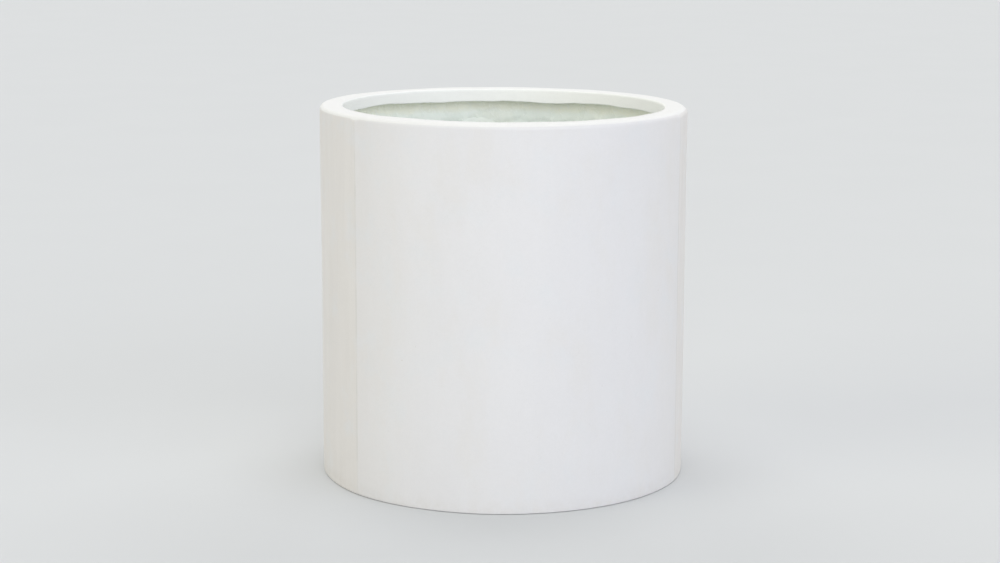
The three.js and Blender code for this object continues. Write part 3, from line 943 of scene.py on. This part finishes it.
class Finish:
    """The nodes of one material. A value is a number, a colour or another node's output."""

    def __init__(self, name):
        self.material = bpy.data.materials.new(name)
        self.material.use_nodes = True
        self.tree = self.material.node_tree
        self.shader = self.tree.nodes["Principled BSDF"]
        self.place = self.tree.nodes.new("ShaderNodeTexCoord").outputs["Object"]

    def make(self, kind, inputs, output=0, **settings):
        node = self.tree.nodes.new(kind)
        for name, value in settings.items():
            setattr(node, name, value)
        for socket, value in inputs.items():
            self.feed(node.inputs[socket], value)
        return node.outputs[output]

    def feed(self, socket, value):
        if isinstance(value, bpy.types.NodeSocket):
            self.tree.links.new(value, socket)
        else:
            socket.default_value = value

    def set(self, socket, value):
        """Sets one of the shader's own sockets."""
        self.feed(self.shader.inputs[socket], value)

    def axis(self, index):
        """The place's x, y or z."""
        return self.make("ShaderNodeSeparateXYZ", {0: self.place}, index)

    def calculate(self, operation, *values):
        return self.make("ShaderNodeMath", dict(enumerate(values)), operation=operation)

    def plus(self, first, second):
        return self.calculate("ADD", first, second)

    def times(self, first, second):
        return self.calculate("MULTIPLY", first, second)

    def larger(self, first, second):
        return self.calculate("MAXIMUM", first, second)

    def opposite(self, share):
        """1 minus a share."""
        return self.calculate("SUBTRACT", 1.0, share)

    def spread(self, value, low, high, to_low=0.0, to_high=1.0):
        """Eases a value from one range into another."""
        inputs = {"Value": value, "From Min": low, "From Max": high, "To Min": to_low, "To Max": to_high}
        return self.make("ShaderNodeMapRange", inputs, interpolation_type="SMOOTHSTEP")

    def mix(self, share, first, second):
        """Mixes two colours, with a share of the second."""
        inputs = {0: share, 6: first, 7: second}
        return self.make("ShaderNodeMix", inputs, 2, data_type="RGBA")

    def dim(self, colour, factor):
        """Multiplies a colour by a number."""
        inputs = {0: colour, "Scale": factor}
        return self.make("ShaderNodeVectorMath", inputs, operation="SCALE")

    def noise(self, size, detail, roughness, turned=(0, 0, 0)):
        """Cloudy noise with forms of a size, or of three sizes along the turned axes."""
        if isinstance(size, tuple):
            inputs = {"Vector": self.place, "Rotation": turned, "Scale": size}
            place, scale = self.make("ShaderNodeMapping", inputs, vector_type="TEXTURE"), 1.0
        else:
            place, scale = self.place, 1 / size
        inputs = {"Vector": place, "Scale": scale, "Detail": detail, "Roughness": roughness}
        return self.make("ShaderNodeTexNoise", inputs)

    def wave(self, noise, depth):
        """Noise that goes half a depth up and down from 0."""
        return self.times(self.calculate("SUBTRACT", self.noise(*noise), 0.5), depth)

    def patches(self, kind, turned=(0, 0, 0)):
        """Soft patches of one of the kinds at the top."""
        size, detail, roughness, levels, values = kind
        return self.spread(self.noise(size, detail, roughness, turned), *levels, *values)

    def crossed(self, kind, turns):
        """Straight marks in several directions."""
        total = 0.0
        for turned in turns:
            total = self.larger(total, self.patches(kind, turned))
        return total

    def specks(self, spacing, size, share):
        """Small round marks, 1 at their middles. Only a share of the possible marks are made."""
        inputs = {"Vector": self.place, "Scale": 1 / spacing}
        distance = self.make("ShaderNodeTexVoronoi", inputs)
        colour = self.make("ShaderNodeTexVoronoi", inputs, 1)
        drawn = self.make("ShaderNodeSeparateColor", {0: colour})
        chosen = self.calculate("GREATER_THAN", drawn, 1 - share)
        mark = self.spread(distance, size / spacing, SPECK_CORE * size / spacing)
        return self.times(mark, chosen)

    def bump(self, height):
        """Sets the surface's fine relief from a height in metres."""
        self.set("Normal", self.make("ShaderNodeBump", {"Height": height, "Distance": 1.0}))


def gelcoat_places(finish, z):
    """How much a place is on the front panel and under the painted light of the lip and the rim, and how
    far it is from a seam.
    """
    x, y = finish.axis(0), finish.axis(1)
    angle = finish.calculate("ARCTAN2", x, finish.times(y, -1.0))
    squares = [finish.calculate("POWER", value, 2.0) for value in (x, y)]
    radius = finish.calculate("SQRT", finish.plus(*squares))
    blur = PANEL_BLUR / OUTER_RADIUS
    second_seam = FIRST_SEAM + PANEL_TURN
    front = finish.times(
        finish.spread(angle, FIRST_SEAM - blur, FIRST_SEAM + blur),
        finish.spread(angle, second_seam + blur, second_seam - blur),
    )
    turned = finish.calculate("SUBTRACT", angle, FIRST_SEAM)
    seam = finish.times(finish.calculate("PINGPONG", turned, PANEL_TURN / 2), OUTER_RADIUS)
    at_face = finish.spread(radius, *[LIP_FACE + depth for depth in LIP_PAINTED_LIGHT_DEPTHS])
    at_lip = finish.spread(z, *[LIP_BOTTOM - drop for drop in LIP_PAINTED_LIGHT_DROPS])
    lip_painted_light = finish.times(at_face, at_lip)
    painted_light_dip = finish.spread(seam, RIM_PAINTED_LIGHT_DIP_REACH, 0, 0, RIM_PAINTED_LIGHT_DIP)
    rim_top_painted_light = finish.spread(finish.plus(z, painted_light_dip), *[RIM_TOP - drop for drop in RIM_PAINTED_LIGHT_DROPS])
    return front, lip_painted_light, finish.larger(lip_painted_light, rim_top_painted_light), seam


def gelcoat_whites(finish, z, front, lip_painted_light, rim_painted_light, seam):
    """The whites of the panels with soft stains and uneven tone, the rim's and the lip's lighter whites
    as painted light, and painted shade towards the floor.
    """
    stained = finish.spread(seam, SEAM_STAIN_REACH, 0, 0, SEAM_STAIN)
    whiter = finish.times(front, finish.opposite(stained))
    colour = finish.mix(whiter, SIDE_WHITE, FRONT_WHITE)
    # painted light: the rim and the lip take lighter copies of the gelcoat's white
    colour = finish.mix(rim_painted_light, colour, finish.mix(lip_painted_light, RIM_PAINTED_LIGHT_WHITE, LIP_PAINTED_LIGHT_WHITE))
    off_rim_painted_light = finish.opposite(rim_painted_light)
    for kind, stain in ((WARM_PATCHES, WARM_STAIN), (COOL_PATCHES, COOL_STAIN)):
        colour = finish.mix(finish.times(finish.patches(kind), off_rim_painted_light), colour, stain)
    streak_depth = finish.times(finish.spread(front, 0, 1, *STREAK_DEPTHS), off_rim_painted_light)
    # painted shade: the white darkens towards the floor; the waves added to it are uneven tone
    tone_and_painted_shade = finish.spread(z, 0, PAINTED_LOW_SHADE_HEIGHT, PAINTED_LOW_SHADE, 1.0)
    for noise, depth in (
        (CLOUDS, CLOUD_DEPTH),
        (MOTTLE, MOTTLE_DEPTH),
        (GRAIN, GRAIN_DEPTH),
        (STREAKS, streak_depth),
    ):
        tone_and_painted_shade = finish.plus(tone_and_painted_shade, finish.wave(noise, depth))
    return finish.dim(colour, tone_and_painted_shade)


def gelcoat_dirt(finish, z, pits):
    """Dirt low on the wall, in small nibs and in pits."""
    low = finish.spread(z, *[FOOT_BOTTOM + height for height in FOOT_DIRT_HEIGHTS])
    dirt = finish.times(low, finish.patches(FOOT_DIRT))
    for marks, strength in ((finish.specks(*NIBS), NIB_STRENGTH), (pits, PIT_STRENGTH)):
        dirt = finish.larger(dirt, finish.times(marks, strength))
    return dirt


def gelcoat_finish():
    """Satin white gelcoat, rubbed down by hand. The front panel is whiter than the other two."""
    finish = Finish("satin_gelcoat")
    z = finish.axis(2)
    front, lip_painted_light, rim_painted_light, seam = gelcoat_places(finish, z)
    colour = gelcoat_whites(finish, z, front, lip_painted_light, rim_painted_light, seam)
    line = finish.times(finish.spread(seam, *SEAM_LINE_EDGES), finish.patches(SEAM_LINE_PATCHES))
    colour = finish.mix(finish.times(line, finish.opposite(rim_painted_light)), colour, SEAM_GREY)
    pits = finish.specks(*PITS)
    colour = finish.mix(gelcoat_dirt(finish, z, pits), colour, GRIME)
    scuffs = finish.times(finish.crossed(SCUFFS, SCUFF_TURNS), finish.patches(SCUFF_PLACES))
    colour = finish.mix(finish.times(scuffs, SCUFF_STRENGTH), colour, GRIME)
    finish.set("Base Color", colour)

    rough = finish.plus(finish.patches(GELCOAT_ROUGHNESS), finish.times(scuffs, SCUFF_ROUGHNESS))
    finish.set("Roughness", finish.plus(rough, finish.times(rim_painted_light, RIM_ROUGHNESS)))
    finish.set("IOR", GELCOAT_IOR)
    peel = finish.times(finish.noise(*ORANGE_PEEL), PEEL_HEIGHT)
    mat = finish.times(finish.noise(*PRINT_THROUGH), PRINT_HEIGHT)
    nicks = finish.times(finish.larger(pits, scuffs), -NICK_DEPTH)
    finish.bump(finish.plus(finish.plus(peel, mat), nicks))
    return finish.material


def laminate_finish():
    """Raw chopped-strand laminate: pale green resin with white fibre bundles in every direction,
    lightened as painted light for light shining through it.
    """
    finish = Finish("raw_strand_laminate")
    # painted shade: the olive band under the lip is partly resin-rich laminate and partly the tint of the
    # lip's shadow
    edge = finish.plus(finish.axis(2), finish.wave(OLIVE_WANDER, OLIVE_WANDER_DEPTH))
    painted_lip_shadow_tint = finish.spread(edge, *[LIP_BOTTOM - drop for drop in OLIVE_DROPS])
    olive_and_painted_lip_shadow = finish.larger(finish.patches(OLIVE_PATCHES), painted_lip_shadow_tint)
    colour = finish.mix(olive_and_painted_lip_shadow, RESIN_MINT_WITH_PAINTED_GLOW, OLIVE_RESIN_AND_PAINTED_SHADOW_TINT)
    strands = finish.crossed(STRANDS, STRAND_TURNS)
    wet = finish.patches(WET_PATCHES)
    strength = finish.spread(wet, 0, 1, *STRAND_STRENGTHS)
    colour = finish.mix(finish.times(strands, strength), colour, FIBRE_WHITE_WITH_PAINTED_GLOW)
    # brush strokes: real relief in the bump, and painted highlights as glints in the colour
    brush_strokes_and_painted_glints = finish.times(finish.crossed(BRUSH_MARKS, BRUSH_TURNS), finish.patches(BRUSHED_PLACES))
    bubbles = finish.specks(*BUBBLES)
    for marks, strength, tint in (
        (brush_strokes_and_painted_glints, PAINTED_GLINT_STRENGTH, RESIN_PAINTED_GLINT),
        (bubbles, BUBBLE_STRENGTH, FIBRE_WHITE_WITH_PAINTED_GLOW),
        (finish.specks(*GRIT), GRIT_STRENGTH, GRIME),
    ):
        colour = finish.mix(finish.times(marks, strength), colour, tint)
    finish.set("Base Color", colour)

    rough = finish.spread(wet, 0, 1, *LAMINATE_ROUGHNESS)
    finish.set("Roughness", finish.plus(rough, finish.times(strands, STRAND_ROUGHNESS)))
    finish.set("IOR", LAMINATE_IOR)
    relief = finish.times(strands, STRAND_HEIGHT)
    lumps = finish.times(finish.noise(*RESIN_LUMPS), RESIN_LUMP_HEIGHT)
    drops = finish.times(bubbles, BUBBLE_HEIGHT)
    strokes = finish.times(brush_strokes_and_painted_glints, BRUSH_HEIGHT)
    finish.bump(finish.plus(finish.plus(relief, lumps), finish.plus(drops, strokes)))
    return finish.material


def rubber_finish():
    """Moulded black rubber with dust in its pores."""
    finish = Finish("moulded_rubber")
    dust = finish.patches(DUST)
    share = finish.plus(dust, finish.patches(FINE_DUST))
    finish.set("Base Color", finish.mix(share, RUBBER_BLACK, RUBBER_DUST))
    finish.set("Roughness", finish.spread(dust, 0, DUST_MOST, *RUBBER_ROUGHNESS))
    finish.bump(finish.times(finish.noise(*RUBBER_PORES), PORE_DEPTH))
    return finish.material


def floor_finish():
    """A pale, even floor."""
    finish = Finish("pale_floor")
    finish.set("Base Color", finish.dim(FLOOR_GREY, finish.patches(FLOOR_SHADES)))
    finish.set("Roughness", FLOOR_ROUGHNESS)
    finish.set("Specular IOR Level", 0.0)
    return finish.material


# ---- stage

def add_floor():
    square = np.array([(-1, -1, 0), (1, -1, 0), (1, 1, 0), (-1, 1, 0)])
    mesh = new_mesh("floor", square * FLOOR_REACH, [(0, 1, 2, 3)])
    mesh.materials.append(floor_finish())
    add_object("floor", mesh)


def add_lamps():
    for name, side, height, strength, colour, softness in LAMPS:
        lamp = bpy.data.lights.new(name, "SUN")
        lamp.energy = strength
        lamp.color = colour
        lamp.angle = math.radians(softness)
        turned = Matrix.Rotation(math.radians(side), 4, "Z")
        tipped = Matrix.Rotation(math.radians(90 - height), 4, "X")
        add_object(name, lamp).matrix_world = turned @ tipped


def add_world():
    """An even sky, which the camera and reflections see as the backdrop's colour."""
    world = bpy.data.worlds.new("studio")
    world.use_nodes = True
    nodes, links = world.node_tree.nodes, world.node_tree.links
    rays = nodes.new("ShaderNodeLightPath")
    seen = rays.outputs["Is Camera Ray"]
    for name in ("Is Glossy Ray", "Is Transmission Ray"):
        either = nodes.new("ShaderNodeMath")
        either.operation = "MAXIMUM"
        links.new(seen, either.inputs[0])
        links.new(rays.outputs[name], either.inputs[1])
        seen = either.outputs[0]
    mix = nodes.new("ShaderNodeMix")
    mix.data_type = "RGBA"
    links.new(seen, mix.inputs[0])
    mix.inputs[6].default_value = SKY_LIGHT
    mix.inputs[7].default_value = BACKDROP
    links.new(mix.outputs[2], nodes["Background"].inputs["Color"])
    bpy.context.scene.world = world


def add_camera():
    lens = bpy.data.cameras.new("camera")
    lens.lens = CAMERA_LENS
    camera = add_object("camera", lens)
    camera.matrix_world = (
        Matrix.Translation(CAMERA_PLACE)
        @ Matrix.Rotation(CAMERA_LEFT, 4, "Z")
        @ Matrix.Rotation(math.pi / 2 - CAMERA_DOWN, 4, "X")
        @ Matrix.Rotation(CAMERA_ROLL, 4, "Z")
    )
    bpy.context.scene.camera = camera


# ---- the whole scene

gelcoat, laminate, rubber = gelcoat_finish(), laminate_finish(), rubber_finish()

for index, side in enumerate(("front", "right", "left")):
    wall_panel(index, "wall_panel_" + side, gelcoat, laminate)
rim_ring(gelcoat, laminate)
rim_tape(laminate)
for index, side in enumerate(("left", "right", "back")):
    seam_tape(index, "seam_tape_" + side, laminate)
base_tape(laminate)
base_pan(laminate, [f"drain_plug_{number}" for number in (1, 2, 3)])
for number in (1, 2, 3):
    drain_plug(f"drain_plug_{number}", f"plug_{number}", rubber)
for number in range(1, 7):
    foot_pad(f"foot_pad_{number}", rubber)

add_floor()
add_lamps()
add_world()
add_camera()
bpy.context.scene.view_settings.view_transform = "Standard"
